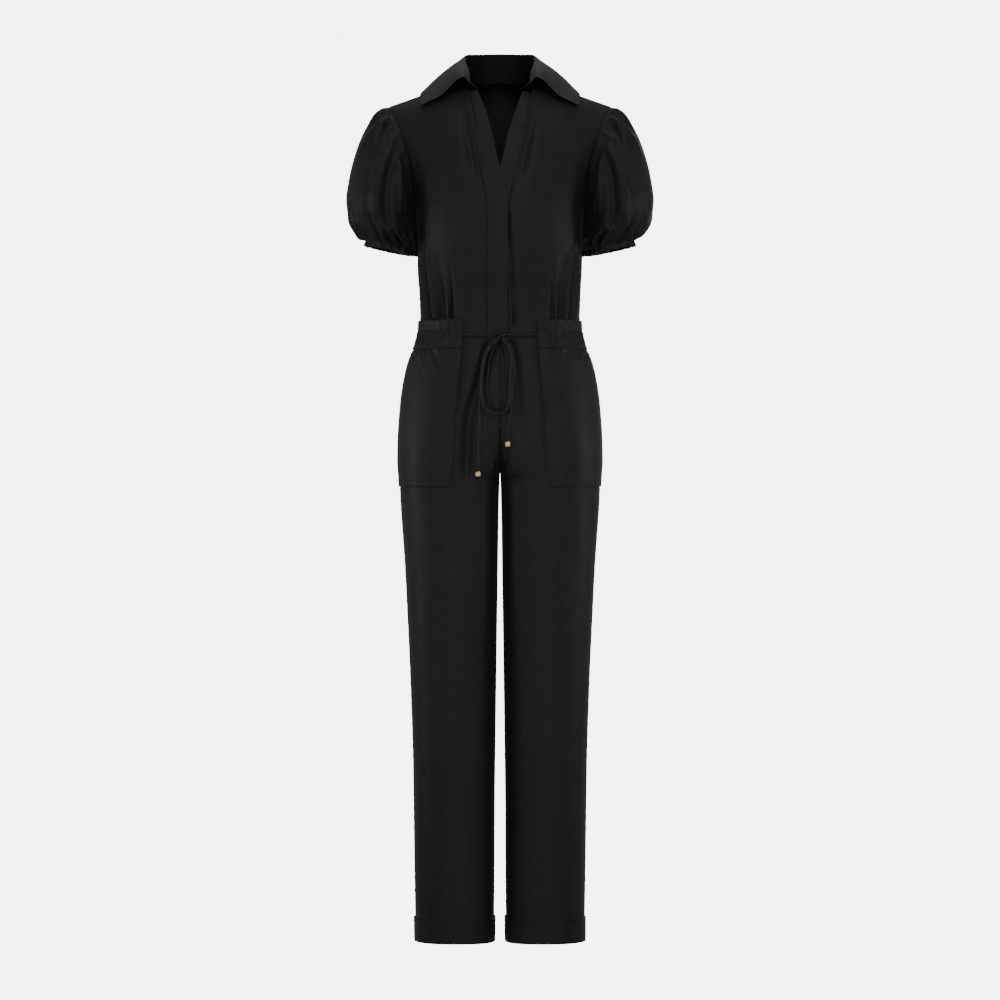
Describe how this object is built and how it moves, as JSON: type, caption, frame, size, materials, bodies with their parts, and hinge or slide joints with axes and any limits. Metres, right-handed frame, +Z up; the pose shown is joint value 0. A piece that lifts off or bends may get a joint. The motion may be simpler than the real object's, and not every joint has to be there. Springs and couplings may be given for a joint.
{
  "type": "short-sleeved jumpsuit with a shirt collar and a tied waist",
  "caption": "Black jumpsuit, hollow as if worn: shirt collar, V front with concealed band, puff sleeves, elastic tied waist, patch pockets and turned-up legs.",
  "frame": {"origin": "where the wearer's shoulders carry the garment: mid-depth on the centre line, level with the neck points", "axes": "+Z up, the front faces -Y, the wearer's left is +X"},
  "size_m": [0.5104, 0.2316, 1.4772],
  "materials": {
    "black_cloth": "matt crepe with a soft sheen",
    "cord_cloth": "matt sewn cord",
    "gold_metal": "polished pale gold"
  },
  "bodies": {
    "root": {"bodice_front_left": "black_cloth", "bodice_front_right": "black_cloth", "bodice_back": "black_cloth", "front_band_over": "black_cloth", "front_band_under": "black_cloth", "collar_stand": "black_cloth", "collar_fall": "black_cloth", "sleeve_left": "black_cloth", "sleeve_right": "black_cloth", "sleeve_hem_left": "black_cloth", "sleeve_hem_right": "black_cloth", "waistband_left": "black_cloth", "waistband_right": "black_cloth", "trouser_front_left": "black_cloth", "trouser_front_right": "black_cloth", "trouser_back_left": "black_cloth", "trouser_back_right": "black_cloth", "pocket_left": "black_cloth", "pocket_right": "black_cloth", "cuff_left": "black_cloth", "cuff_right": "black_cloth", "cord_tie_left": "cord_cloth", "cord_tie_right": "cord_cloth", "cord_loop_front": "cord_cloth", "cord_loop_back": "cord_cloth", "cord_tail_left": "cord_cloth", "cord_tail_right": "cord_cloth", "bow_knot": "cord_cloth", "tip_left": "gold_metal", "tip_right": "gold_metal"}
  },
  "joints": []
}
